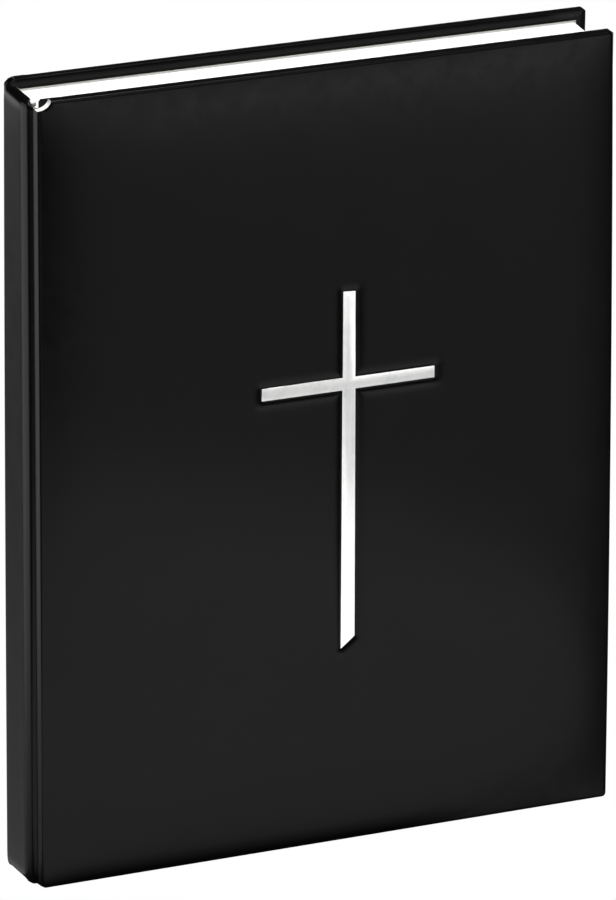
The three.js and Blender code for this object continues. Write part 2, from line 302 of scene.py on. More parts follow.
def leather_material():
    """Smooth bonded leather: a very fine pebble, shallow pores, faint polish marks and a satin sheen."""
    s = Shader("black_leather", Specular_IOR_Level=0.15)
    at = s.coordinates()
    pebble = s.cells(at, 1.7)
    fine = s.noise(at, 3.2, 4, 0.6)
    broad = s.noise(at, 0.045, 3, 0.6)
    polish = s.noise(at, 0.16, 4, 0.65)
    tone = s.colours(broad, (0.3, (0.0013, 0.0013, 0.0015)), (0.7, (0.0022, 0.0023, 0.0024)))
    s.link(tone, "Base Color")
    s.link(s.spread(polish, 0.3, 0.7, 0.20, 0.26), "Roughness")
    pebbles = s.math("MULTIPLY", s.math("MINIMUM", pebble, 0.25), 2.2)
    s.bump(s.math("ADD", pebbles, s.math("MULTIPLY", fine, 0.5)), 0.22, 0.05)
    return s.material


def metal_material():
    """Bright polished plate with fine lengthwise polishing lines and a few soft stains."""
    s = Shader("bright_metal", Metallic=1.0)
    at = s.coordinates()
    along = s.coordinates((3500, 3500, 60))
    lines = s.noise(along, 1.0, 3, 0.6)
    stain = s.noise(at, 0.12, 3, 0.6)
    s.link(s.colours(stain, (0.28, (0.83, 0.84, 0.85)), (0.55, (0.93, 0.93, 0.92))), "Base Color")
    s.link(s.spread(lines, 0.3, 0.7, 0.16, 0.27), "Roughness")
    s.bump(lines, 0.08, 0.02)
    return s.material


def page_material():
    """Bible paper seen on edge: thin stacked sheets with slight differences in tone and height."""
    s = Shader("page_paper", Roughness=0.85, Specular_IOR_Level=0.2)
    at = s.coordinates((200, 11000, 200))
    sheets = s.noise(at, 1.0, 2, 0.7)
    broad = s.noise(s.coordinates(), 0.05, 3)
    tone = s.math("ADD", s.math("MULTIPLY", sheets, 0.75), s.math("MULTIPLY", broad, 0.25))
    shades = [(0.25, (0.80, 0.795, 0.775)), (0.5, (0.91, 0.907, 0.89)), (0.8, (0.94, 0.937, 0.925))]
    s.link(s.colours(tone, *shades), "Base Color")
    s.bump(sheets, 0.35, 0.04)
    return s.material


def leaf_material():
    """A thin single leaf: faint clouds and upright fibres."""
    s = Shader("leaf_paper", Roughness=0.8, Specular_IOR_Level=0.2)
    at = s.coordinates()
    cloud = s.noise(at, 0.35, 5, 0.6)
    fibre = s.noise(s.coordinates((1500, 1500, 220)), 1.0, 3, 0.6)
    s.link(s.colours(cloud, (0.3, (0.885, 0.88, 0.86)), (0.7, (0.93, 0.927, 0.915))), "Base Color")
    s.bump(fibre, 0.12, 0.03)
    return s.material


def endpaper_material():
    """Heavier, slightly warmer paper with fine fibres."""
    s = Shader("endpaper", Roughness=0.75, Specular_IOR_Level=0.25)
    at = s.coordinates()
    cloud = s.noise(at, 0.2, 5, 0.6)
    fibre = s.noise(at, 2.4, 4, 0.65)
    s.link(s.colours(cloud, (0.3, (0.85, 0.835, 0.80)), (0.7, (0.90, 0.89, 0.86))), "Base Color")
    s.bump(fibre, 0.2, 0.04)
    return s.material


def foam_material():
    """White foam: small open cells on a matte body."""
    s = Shader("white_foam", Roughness=0.95, Specular_IOR_Level=0.15)
    at = s.coordinates()
    cells = s.cells(at, 4.5)
    s.link(s.colours(cells, (0.02, (0.74, 0.74, 0.73)), (0.2, (0.93, 0.93, 0.92))), "Base Color")
    s.bump(cells, 0.5, 0.1)
    return s.material


def board_material(name, dark, light):
    """Pressed grey fibre board or card."""
    s = Shader(name, Roughness=0.92, Specular_IOR_Level=0.2)
    at = s.coordinates((900, 2600, 900))
    fibre = s.noise(at, 1.0, 5, 0.7)
    s.link(s.colours(fibre, (0.3, dark), (0.7, light)), "Base Color")
    s.bump(fibre, 0.5, 0.08)
    return s.material


def cloth_material():
    """Open cotton weave, crossing threads with gaps between."""
    s = Shader("binding_cloth", Roughness=0.95, Specular_IOR_Level=0.1, Sheen_Weight=0.2)
    at = s.add("ShaderNodeTexCoord").outputs["Object"]
    waves = []
    for direction in ("Y", "Z"):
        values = {"Vector": at, "Scale": 260.0, "Distortion": 1.2, "Detail": 1.0}
        wave = s.add("ShaderNodeTexWave", values, bands_direction=direction)
        waves.append(wave.outputs["Fac"])
    weave = s.math("MAXIMUM", *waves)
    s.link(s.colours(weave, (0.25, (0.52, 0.49, 0.42)), (0.8, (0.86, 0.83, 0.76))), "Base Color")
    s.bump(weave, 0.6, 0.12)
    return s.material


def thread_material():
    """Twisted white cotton thread."""
    s = Shader("white_thread", Roughness=0.8, Specular_IOR_Level=0.2, Sheen_Weight=0.25)
    at = s.coordinates((2600, 900, 2600))
    twist = s.noise(at, 1.0, 3, 0.6)
    s.link(s.colours(twist, (0.3, (0.70, 0.69, 0.66)), (0.65, (0.92, 0.91, 0.88))), "Base Color")
    s.bump(twist, 0.45, 0.06)
    return s.material


LEATHER = leather_material()
METAL = metal_material()
PAGES = page_material()
LEAF = leaf_material()
ENDPAPER = endpaper_material()
FOAM = foam_material()
GREYBOARD = board_material("greyboard", (0.19, 0.18, 0.165), (0.36, 0.345, 0.32))
CARD = board_material("spine_card", (0.36, 0.33, 0.27), (0.56, 0.52, 0.44))
CLOTH = cloth_material()
THREAD = thread_material()


# ---- layout of a cover ----

# grid lines near the edges of a cover, as distances from the edge
EDGE_LINES = [0.0, 0.1, 0.3, 0.6, 1.0, 1.4, 1.9, 2.6, 3.6, 5.0, 7.0, 9.5, NOTCH_PATCH]
CROSS_LINES = [0.0, 0.5, 1.1, 1.9, 3.0, 4.5, 7.0]  # grid lines outside the cross's edges
CROSS_X = (cross_low.x + cross_high.x) / 2 - WALL_X
CROSS_HALF_UPRIGHT = 2.8
CROSS_HALF_ARM = 2.35
CROSS_TAPER = 0.6  # the upright's left edge leans in by this much at its top
CROSS_HALF_LENGTH = (cross_high.x - cross_low.x) / 2
CROSS_FOOT = cross_low.z
CROSS_TOP = cross_high.z
CROSS_SLANT = 4.4  # rise of the sloping cut across the foot
CROSS_ARM_UP = 179.35


def cross_outline():
    """The cross as (across, up) points, anticlockwise from its foot."""
    left, right = CROSS_X - CROSS_HALF_UPRIGHT, CROSS_X + CROSS_HALF_UPRIGHT
    west, east = CROSS_X - CROSS_HALF_LENGTH, CROSS_X + CROSS_HALF_LENGTH
    under, over = CROSS_ARM_UP - CROSS_HALF_ARM, CROSS_ARM_UP + CROSS_HALF_ARM
    lean = CROSS_TAPER * (CROSS_ARM_UP - CROSS_FOOT) / (CROSS_TOP - CROSS_FOOT)
    return [
        (left, CROSS_FOOT), (right, CROSS_FOOT + CROSS_SLANT), (right, under), (east, under),
        (east, over), (right, over), (right, CROSS_TOP), (left + CROSS_TAPER, CROSS_TOP),
        (left + lean, over), (west, over), (west, under), (left + lean, under),
    ]


CROSS_POINTS = cross_outline()


def distance_to_cross(across, up):
    """Distance outside the cross, or negative inside it."""
    best, inside = 1e9, False
    for i, (x0, z0) in enumerate(CROSS_POINTS):
        x1, z1 = CROSS_POINTS[(i + 1) % len(CROSS_POINTS)]
        dx, dz = x1 - x0, z1 - z0
        t = ((across - x0) * dx + (up - z0) * dz) / (dx * dx + dz * dz)
        t = min(max(t, 0.0), 1.0)
        best = min(best, math.hypot(across - x0 - t * dx, up - z0 - t * dz))
        if (z0 > up) != (z1 > up) and across < x0 + (up - z0) * dx / dz:
            inside = not inside
    return -best if inside else best


def grid_lines(length, extra):
    """Positions from 0 to length, close together at both ends and at `extra`."""
    found = sorted({*EDGE_LINES, *(length - e for e in EDGE_LINES), *extra})
    lines = [found[0]]
    for line in found[1:]:
        start = lines[-1]
        if line - start < CLOSEST_LINES:
            continue
        cells = max(1, math.ceil((line - start) / WIDEST_CELL))
        lines += [start + (line - start) * (k + 1) / cells for k in range(cells)]
    return lines


def crown_share(distance):
    """Share of the crown reached at a distance from one edge."""
    return 1 - math.exp(-max(distance - EDGE_RADIUS, 0.0) / CROWN_REACH)


def edge_fall(distance, radius, drop):
    """Depth of a quarter-round edge at a distance from it."""
    if distance >= radius:
        return 0.0
    return drop * (1 - math.sqrt(max(0.0, 1 - (1 - distance / radius) ** 2)))


def notch_reach(side, across, down):
    """Distance from the corner to the notch's arc, in the direction of a point."""
    wide, deep = NOTCH_SIZE[side]
    return math.hypot(across, down) / math.hypot(across / wide, down / deep)


def notch_distance(side, across, up):
    """Distance outside the notch's arc, measured from the corner."""
    down = HEIGHT - up
    return math.hypot(across, down) - notch_reach(side, across + 0.01, down)


def cover_relief(across, up, edge, notch, has_cross):
    """How far inward the leather's outer face lies at a point of the cover."""
    from_sides = (across, COVER_WIDTH - across, up, HEIGHT - up)
    lift = CROWN * math.prod(crown_share(d) for d in from_sides)
    lift *= 1 - NOTCH_FLATTENING * math.exp(-max(notch, 0.0) / NOTCH_REACH)
    fall = max(edge_fall(edge, EDGE_RADIUS, EDGE_DROP), edge_fall(notch, NOTCH_LIP, FOAM_OUTER))
    inward = fall - lift
    if has_cross:
        off = distance_to_cross(across, up)
        inward += CROSS_DIP * math.exp(-max(off, 0.0) / CROSS_REACH)
        if off < 0:
            inward += CROSS_POCKET
    return inward


def rounded_corner(da, db):
    """Moves a point near a square corner, given by its distances from both edges, to a rounded one."""
    r = CORNER_RADIUS
    if da >= r or db >= r:
        return da, db, min(da, db)
    u, v = 1 - da / r, 1 - db / r
    mu, mv = u * math.sqrt(1 - v * v / 2), v * math.sqrt(1 - u * u / 2)
    return r * (1 - mu), r * (1 - mv), r * (1 - math.hypot(mu, mv))


class CoverFace:
    """The outer face of a cover as points and quads, with the loop of its boundary."""

    def __init__(self, side):
        self.side, self.has_cross = side, side == FRONT
        extra_a, extra_b = self._lines_at_cross() if self.has_cross else ([], [])
        self.across = grid_lines(COVER_WIDTH, extra_a)
        self.up = grid_lines(HEIGHT, extra_b)
        self.points, self.faces, self.index = [], [], {}
        self.patch = len(EDGE_LINES) - 1  # grid lines inside the notch patch
        self._grid()
        self._notch()

    def _lines_at_cross(self):
        """Grid lines through the cross and beside its edges: positions across and up."""
        near = [*CROSS_LINES, 10.0]
        spans = [CROSS_HALF_UPRIGHT + n for n in near] + [0.9, 1.9]
        ends = [CROSS_HALF_LENGTH + n for n in (-1.2, *CROSS_LINES)]
        lines_a = [CROSS_X + s * d for s in (-1, 1) for d in spans + ends] + [CROSS_X]
        arms = [CROSS_HALF_ARM + n for n in near] + [0.9, 1.8]
        lines_b = [CROSS_ARM_UP + s * d for s in (-1, 1) for d in arms] + [CROSS_ARM_UP]
        lines_b += [CROSS_TOP + n for n in (-1.5, *CROSS_LINES)]
        lines_b += [CROSS_FOOT - n for n in CROSS_LINES]
        lines_b += [CROSS_FOOT + n for n in (0.9, 1.8, 2.7, 3.6, 4.5, 5.4, 6.5)]
        return lines_a, lines_b

    def add(self, key, across, up, edge, notch):
        inward = cover_relief(across, up, edge, notch, self.has_cross)
        self.index[key] = len(self.points)
        self.points.append((across, up, inward))

    def in_patch(self, i, j):
        return i < self.patch and j > len(self.up) - 1 - self.patch

    def _grid(self):
        for i, a in enumerate(self.across):
            for j, b in enumerate(self.up):
                if self.in_patch(i, j):
                    continue
                da, db = min(a, COVER_WIDTH - a), min(b, HEIGHT - b)
                na, nb, edge = rounded_corner(da, db)
                across = na if a < COVER_WIDTH / 2 else COVER_WIDTH - na
                up = nb if b < HEIGHT / 2 else HEIGHT - nb
                if da >= CORNER_RADIUS or db >= CORNER_RADIUS:
                    across, up = a, b
                self.add((i, j), across, up, edge, notch_distance(self.side, across, up))
        for i in range(len(self.across) - 1):
            for j in range(len(self.up) - 1):
                keys = [(i, j), (i + 1, j), (i + 1, j + 1), (i, j + 1)]
                if all(k in self.index for k in keys):
                    self.faces.append([self.index[k] for k in keys])

    def _notch(self):
        """Rays from the corner point to the border of the patch, starting on the notch's arc."""
        p, top = self.patch, len(self.up) - 1
        border = [(p, top - k) for k in range(p + 1)] + [(p - 1 - k, top - p) for k in range(p)]
        shares = [0, 0.03, 0.08, 0.16, 0.26, 0.38, 0.52, 0.66, 0.82, 1]
        for ray, key in enumerate(border):
            across, up, _ = self.points[self.index[key]]
            down = HEIGHT - up
            length, start = math.hypot(across, down), notch_reach(self.side, across, down)
            for k, share in enumerate(shares[:-1]):
                reach = start + (length - start) * share
                x, z = across / length * reach, HEIGHT - down / length * reach
                self.add(("ray", ray, k), x, z, min(x, HEIGHT - z), reach - start)
            self.index["ray", ray, len(shares) - 1] = self.index[key]
        for ray in range(len(border) - 1):
            for k in range(len(shares) - 1):
                keys = [("ray", ray, k), ("ray", ray + 1, k), ("ray", ray + 1, k + 1), ("ray", ray, k + 1)]
                self.faces.append([self.index[q] for q in keys])
        self.rays, self.steps = len(border), len(shares)

    def edge_loop(self):
        """Boundary from one end of the notch round the cover to the other, anticlockwise from outside."""
        last_a, last_b = len(self.across) - 1, len(self.up) - 1
        p = self.patch
        keys = [("ray", self.rays - 1, k) for k in range(self.steps)]
        keys += [(0, j) for j in range(last_b - p - 1, -1, -1)]
        keys += [(i, 0) for i in range(1, last_a + 1)]
        keys += [(last_a, j) for j in range(1, last_b + 1)]
        keys += [(i, last_b) for i in range(last_a - 1, p - 1, -1)]
        keys += [("ray", 0, k) for k in range(self.steps - 2, -1, -1)]
        return [self.index[k] for k in keys]

    def notch_loop(self):
        return [self.index["ray", ray, 0] for ray in range(self.rays)]


def place(side, across, up, inward):
    """A cover point in the row frame."""
    return WALL_X + across, side * (HALF - inward), up


def inset(across, up, amount):
    """The same place on the outline shrunk by an amount."""
    return (
        min(max(across, amount), COVER_WIDTH - amount),
        min(max(up, amount), HEIGHT - amount),
    )


def add_strip(faces, first, second):
    """Quads between two rows of vertex numbers."""
    for k in range(len(first) - 1):
        faces.append([first[k], second[k], second[k + 1], first[k + 1]])


def add_walls(face, points, faces):
    """The cover's edges and the turn-ins behind them."""
    loop = face.edge_loop()
    levels = [
        (EDGE_DROP + 0.9, 0.0), (COVER_EDGE - 0.9, 0.0), (COVER_EDGE - 0.35, 0.03),
        (COVER_EDGE - 0.1, 0.16), (COVER_EDGE, 0.45), (COVER_EDGE, 3.0),
        (COVER_EDGE, TURN_IN - 0.6), (COVER_EDGE - 0.25, TURN_IN),
    ]  # (inward, how far the outline has shrunk)
    previous = loop
    for inward, shrink in levels:
        row = []
        for vertex in loop:
            across, up, _ = face.points[vertex]
            slant = WALL_SLANT * inward * smoothstep(1 - across / WALL_SLANT_REACH)
            row.append(len(points))
            across, up = inset(across, up, shrink)
            points.append((across - slant, up, inward))
        add_strip(faces, previous, row)
        previous = row


def add_notch_rims(face, points, faces):
    """Leather above the foam's rim in the notch, and below it."""
    arc = face.notch_loop()
    # rows of leather, as (inward, distance outside the notch's arc)
    lip = [(FOAM_OUTER + 0.18, 0.22)]
    if face.side == BACK:
        lip = [(FOAM_OUTER, -0.2), (FOAM_INNER + 0.1, -0.2)]
    rim = [(FOAM_INNER, 0.5), (FOAM_INNER + 0.05, 0.05), (COVER_EDGE - 0.2, 0.0), (COVER_EDGE, 0.3)]
    for strip, first in ((lip, arc), (rim, None)):
        previous = first
        for inward, back in strip:
            row = []
            for vertex in arc:
                across, up, _ = face.points[vertex]
                grow = 1 + back / math.hypot(across, HEIGHT - up)
                row.append(len(points))
                points.append((across * grow, HEIGHT - (HEIGHT - up) * grow, inward))
            if previous:
                add_strip(faces, previous, row)
            previous = row


def add_tab(side, points, faces):
    """The turned-in leather behind the notch, as a closed block."""
    head = HEIGHT - 0.05
    if side == FRONT:
        outer = COVER_EDGE - 0.45
        outline = [(1.9, TAB_FOOT), (7.5, TAB_FOOT), (7.5, head), (2.6, head), (1.9, HEIGHT - 1.0)]
    else:
        outer = 0.6
        outline = [
            (-0.3, TAB_FOOT), (7.5, TAB_FOOT), (7.5, head), (3.4, head), (1.2, HEIGHT - 0.6),
            (-0.3, HEIGHT - 2.2),
        ]
    base, count = len(points), len(outline)
    for inward in (outer, COVER_EDGE - 0.1):
        points += [(across, up, inward) for across, up in outline]
    faces.append([base + k for k in range(count)])
    faces.append([base + count + k for k in reversed(range(count))])
    for k in range(count):
        after = (k + 1) % count
        faces.append([base + k, base + count + k, base + count + after, base + after])


def cover_skin(side, name):
    """Leather of one cover: padded face, walls, turn-ins and the edges of the notch."""
    face = CoverFace(side)
    points, faces = list(face.points), list(face.faces)
    add_walls(face, points, faces)
    add_notch_rims(face, points, faces)
    add_tab(side, points, faces)
    placed = [place(side, *p) for p in points]
    skin = make_piece(f"{name}_cover_skin", placed, flipped(faces, side == BACK), LEATHER)
    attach(skin, f"{name}_cover")
    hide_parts(f"{name}_cover_leather")


def foam_sheets(face):
    """Outer and inner faces of the foam, one point of each for every point of the leather's face."""
    on_arc = set(face.notch_loop())
    outer, inner = [], []
    for k, (across, up, inward) in enumerate(face.points):
        notch = max(notch_distance(face.side, across, up), 0.0)
        wrap = smoothstep(1 - notch / FOAM_WRAP)
        cover = FOAM_INSET - FOAM_BARE * smoothstep(1 - notch / FOAM_BARE_REACH)
        if k not in on_arc:
            across, up = inset(across, up, FOAM_INSET)
        outer.append((across, up, max(inward, FOAM_OUTER * wrap - CROWN * (1 - wrap)) + cover))
        inner.append((across, up, FOAM_UNDER + (FOAM_INNER - FOAM_UNDER) * wrap))
    return outer, inner


def cover_foam(side, name):
    """Soft padding between leather and board; its rim shows in the notch."""
    face = CoverFace(side)
    ring = face.edge_loop()[:-1] + face.notch_loop()[:-1]
    on_arc = set(face.notch_loop())
    outer, inner = foam_sheets(face)
    points = outer + inner
    count = len(face.points)
    faces = [list(f) for f in face.faces] + [[k + count for k in reversed(f)] for f in face.faces]
    previous = ring
    for share in (0.06, 0.2, 0.5, 0.8, 0.94, 1.0):
        row = []
        for vertex in ring:
            if share == 1.0:
                row.append(vertex + count)
                continue
            (x, z, low), (_, _, high) = points[vertex], points[vertex + count]
            bulge = 0.12 * (1 - (2 * share - 1) ** 2) if vertex in on_arc else 0.0
            swell = 1 - bulge / math.hypot(x, HEIGHT - z)
            row.append(len(points))
            points.append((x * swell, HEIGHT - (HEIGHT - z) * swell, low + (high - low) * share))
        add_strip(faces, previous + previous[:1], row + row[:1])
        previous = row
    placed = [place(side, *p) for p in points]
    foam = face_outwards(make_piece(f"{name}_foam", placed, faces, FOAM))
    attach(foam, f"{name}_cover")
    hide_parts(f"{name}_padding")


def two_sided(rows, columns, flip=False):
    """Faces of a thin sheet: a grid, the same grid again behind it, and the border between them."""
    count = rows * columns
    faces = grid_faces(rows, columns, flip=flip)
    faces += [[q + count for q in reversed(f)] for f in faces]
    ring = list(range(columns)) + [r * columns + columns - 1 for r in range(1, rows)]
    ring += [(rows - 1) * columns + c for c in range(columns - 2, -1, -1)]
    ring += [r * columns for r in range(rows - 2, 0, -1)]
    faces += [[a, b, b + count, a + count] for a, b in zip(ring, ring[1:] + ring[:1])]
    return faces


def pastedown(side, name):
    """Endpaper glued inside a cover: it steps over the turn-ins and bends across the joint."""
    inner = COVER_EDGE + 0.16  # its inner face on the turn-ins
    step = 0.22  # it lies this much deeper on the board
    across = [-0.4, 0.0, 0.5, 1.3, 2.5, 5, 9, 20, 60, 110, 160, 205]
    stops = [TURN_IN - 2.5, TURN_IN - 0.8, TURN_IN + 0.8, TURN_IN + 2.5]
    across += [COVER_WIDTH - s for s in reversed(stops)] + [COVER_WIDTH - 8, COVER_WIDTH - PASTEDOWN_MARGIN]
    up = [PASTEDOWN_MARGIN, 8, *stops, 60, 100, 150, 200, 240]
    up += [HEIGHT - s for s in reversed(stops)] + [HEIGHT - 8, HEIGHT - PASTEDOWN_MARGIN]
    top, under = [], []
    for z in up:
        for x in across:
            rim = min(COVER_WIDTH - x, z, HEIGHT - z)
            sunk = step * smoothstep((rim - TURN_IN + 1.2) / 2.4) * smoothstep((x - 2) / 4)
            into_joint = 0.25 * smoothstep((0.8 - x) / 1.4)
            top.append(place(side, x, z, inner - sunk + into_joint))
            under.append(place(side, x, z, inner - sunk + into_joint - PASTEDOWN_THICK))
    faces = two_sided(len(up), len(across), flip=True)
    sheet = face_outwards(make_piece(f"{name}_pastedown_sheet", top + under, faces, ENDPAPER))
    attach(sheet, f"{name}_cover")
    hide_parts(f"{name}_pastedown")


def cross_piece():
    """Faceted plate: a low hipped roof with crisp, lightly broken edges."""
    rim = -CROWN + 0.20
    ridge = -CROWN + 0.02
    floor = -CROWN + 0.95
    x, z = CROSS_X, CROSS_ARM_UP
    hip = 2.4  # length of the sloping end of each arm
    ridge_ends = [
        (x, z), (x, CROSS_TOP - hip), (x, CROSS_FOOT + CROSS_SLANT / 2 + hip + 0.6),
        (x - CROSS_HALF_LENGTH + hip, z), (x + CROSS_HALF_LENGTH - hip, z),
    ]
    points = [(*p, floor) for p in CROSS_POINTS] + [(*p, rim) for p in CROSS_POINTS]
    points += [(*p, ridge) for p in ridge_ends]
    n = len(CROSS_POINTS)
    mid, top, foot, left, right = range(2 * n, 2 * n + 5)
    r = list(range(n, 2 * n))
    faces = [[k, (k + 1) % n, n + (k + 1) % n, n + k] for k in range(n)]
    faces.append([n - 1 - k for k in range(n)])
    faces += [
        [r[0], r[1], foot], [r[1], r[2], mid, foot], [r[2], r[3], right, mid], [r[3], r[4], right],
        [r[4], r[5], mid, right], [r[5], r[6], top, mid], [r[6], r[7], top], [r[7], r[8], mid, top],
        [r[8], r[9], left, mid], [r[9], r[10], left], [r[10], r[11], mid, left], [r[11], r[0], foot, mid],
    ]
    placed = [place(FRONT, *p) for p in points]
    plate = face_outwards(make_piece("cross_plate", placed, faces, METAL, smooth=False))
    limit = math.radians(20)
    apply_modifier(plate, "BEVEL", width=0.12 * MM, segments=2, limit_method="ANGLE", angle_limit=limit)
    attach(plate, "front_cover")
    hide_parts("cross")


# ---- spine and joints ----


def spine_section():
    """Half of the spine's outer line from its middle to one point past its end: (across, inward)."""
    flat_end = SPINE_RIDGE + 1.4
    line = []
    for k in range(7):
        bulge = SPINE_BULGE * (1 - (k / 6) ** 2)
        line.append((SPINE_FACE - bulge, HALF - (HALF - flat_end) * k / 6))
    line += [(SPINE_FACE + 0.04, SPINE_RIDGE + 0.5), (SPINE_FACE + 0.14, SPINE_RIDGE - 0.1)]
    return line + JOINT_LINE[:3]


def outward_normals(line):
    """Unit normals along a line of (across, inward) points."""
    normals = []
    for k in range(len(line)):
        before, after = line[max(k - 1, 0)], line[min(k + 1, len(line) - 1)]
        dx, dy = after[0] - before[0], after[1] - before[1]
        length = math.hypot(dx, dy)
        normals.append((dy / length, -dx / length))
    return normals


ROLL = [
    (5.0, 0.0), (3.3, 0.015), (2.0, 0.05), (1.1, 0.12), (0.45, 0.24), (0.1, 0.4), (0.0, 0.55),
    (0.05, 0.75), (0.3, 0.9), (0.8, 1.0), (1.6, 0.98), (2.6, 0.8),
]  # outline of a rolled end: (height from the end, share of the thickness), outer face first
ROLL_FOOT = (4.0, 3.0)  # last point: height from the end, and the most that it lies inside
ROLL_STEPS = 24  # rows of quads between the two rolled ends


def roll(end, inside, thickness):
    """Path over a folded end: (height, depth into the leather) pairs, from the outer face inwards."""
    s = 1 if inside > end else -1
    path = [(end + s * height, share * thickness) for height, share in ROLL]
    height, deepest = ROLL_FOOT
    return path + [(end + s * height, min(thickness, deepest))]


def folded_strip(line, normals, ends, thickness, side, flip):
    """Leather strip along Z over `line`, folded inwards at both ends; ends and thickness vary along it."""
    points = []
    for (across, inward), (nx, ny), (tail, head), thick in zip(line, normals, ends, thickness):
        path = roll(tail, head, thick)[::-1]
        low, high = tail + ROLL[0][0], head - ROLL[0][0]
        path += [(low + (high - low) * k / ROLL_STEPS, 0.0) for k in range(1, ROLL_STEPS)]
        path += roll(head, tail, thick)
        points += [place(side, across - nx * d, z, inward - ny * d) for z, d in path]
    return points, grid_faces(len(line), len(points) // len(line), flip)


def spine_skin():
    """Flat leather back with thick rolled caps at head and tail."""
    half = spine_section()
    line = list(reversed(half)) + [(across, 2 * HALF - inward) for across, inward in half[1:]]
    normals = []
    for (nx, ny), (_, inward) in zip(outward_normals(line), line):
        towards_front = (inward < HALF) == (ny < 0)
        normals.append((-abs(nx), ny if towards_front else -ny))
    line, normals = line[1:-1], normals[1:-1]
    ends, thickness = [], []
    for _, inward in line:
        near_edge = smoothstep((abs(inward - HALF) - SPINE_EDGE_START) / SPINE_EDGE_SPAN)
        ends.append((spine_low.z - SPINE_EDGE_HANG * near_edge, spine_high.z - SPINE_EDGE_DIP * near_edge))
        thickness.append(SPINE_CAP - (SPINE_CAP - RIDGE_CAP) * near_edge)
    points, faces = folded_strip(line, normals, ends, thickness, FRONT, True)
    skin = make_piece("spine_skin", points, faces, LEATHER)
    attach(skin, "text_block")
    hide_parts("spine_leather")


def joint_skin(side, name):
    """Leather of one groove, curved in section from the spine's ridge to the foot of the cover's wall."""
    line = JOINT_LINE[1:]
    normals = [(nx, ny) if ny < 0 else (-nx, -ny) for nx, ny in outward_normals(JOINT_LINE)[1:]]
    tail, head = spine_low.z - SPINE_EDGE_HANG, spine_high.z - SPINE_EDGE_DIP
    ends, thickness = [], []
    for k in range(len(line)):
        share = smoothstep(k / (len(line) - 1))
        ends.append((tail + JOINT_RISE * share, head - JOINT_DIP[side] * share))
        thickness.append(RIDGE_CAP - (RIDGE_CAP - JOINT_CAP) * share)
    points, faces = folded_strip(line, normals, ends, thickness, side, side == FRONT)
    skin = make_piece(f"{name}_joint_skin", points, faces, LEATHER)
    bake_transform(skin)
    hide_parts(f"{name}_joint_leather")


# ---- text block ----

BLOCK_FORE = block_high.x
BLOCK_TAIL, BLOCK_HEAD = block_low.z, block_high.z
BLOCK_BACK = block_low.x
SHEETS_PER_SECTION = 5
SECTION_GAP = 0.015
LEAF_THICK = 0.11
LEAF_SWELL = 0.035  # height of the faint waves in a leaf
TRIM_RIM = 0.12  # a section is pinched at head and tail, over this height
TRIM_PINCH = 0.05  # by this share of its thickness
TRIM_UNEVEN = 0.04  # most that the trimmed head is uneven


def section_outline(rng, y0, y1):
    """A section seen from the head: uneven fore edges, flat sides and a rounded back."""
    thick = (y1 - y0) / SHEETS_PER_SECTION
    uneven = rng.uniform(-0.05, 0.05, SHEETS_PER_SECTION)
    outline = []
    for s in range(SHEETS_PER_SECTION):
        low = y0 + s * thick
        fore = BLOCK_FORE - 0.06 + uneven[s]
        outline += [(fore - 0.05, low), (fore, low + 0.3 * thick), (fore, low + 0.7 * thick)]
    outline.append((BLOCK_FORE - 0.11, y1))
    middle, half = (y0 + y1) / 2, (y1 - y0) / 2
    back = []
    for angle in np.linspace(math.pi / 2, -math.pi / 2, 9):
        back.append((BLOCK_BACK + half * (1 - math.cos(angle)), middle + half * math.sin(angle)))
    xs = [BLOCK_FORE - 20, (BLOCK_FORE + BLOCK_BACK) / 2, *(BLOCK_BACK + d for d in (60, 30, 12, 5, 2))]
    return outline + [(x, y1) for x in xs] + back + [(x, y0) for x in reversed(xs)]


def section_piece(name, number, y0, y1):
    """One sewn section: folded sheets with a rounded back and slightly uneven trimmed edges."""
    rng = np.random.default_rng(SEED + number)
    loop = section_outline(rng, y0, y1)
    middle = (y0 + y1) / 2
    levels = [BLOCK_TAIL, BLOCK_TAIL + TRIM_RIM, HEIGHT / 2, BLOCK_HEAD - TRIM_RIM, BLOCK_HEAD]
    last = len(levels) - 1
    points = []
    for row, z in enumerate(levels):
        pinch = TRIM_PINCH if row in (0, last) else 0.0
        for k, (x, y) in enumerate(loop):
            uneven = abs(TRIM_UNEVEN * math.sin(2.1 * k + number)) if row == last else 0.0
            points.append((x, middle + (y - middle) * (1 - pinch), z - uneven))
    count = len(loop)
    faces = grid_faces(len(levels), count, closed=True)
    faces.append(list(range(count))[::-1])
    faces.append([last * count + k for k in range(count)])
    piece = face_outwards(make_piece(name, points, faces, PAGES, smooth=False))
    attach(piece, "text_block")
    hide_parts(f"gathering_{number:02d}")


def text_block():
    """All the sewn sections, side by side."""
    count = sum(1 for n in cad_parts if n.startswith("gathering_"))
    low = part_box("gathering_01")[0].y / MM
    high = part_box(f"gathering_{count:02d}")[1].y / MM
    pitch = (high - low) / count
    for k in range(count):
        start = low + k * pitch
        section_piece(f"section_{k + 1:02d}", k + 1, start, low + (k + 1) * pitch - SECTION_GAP)


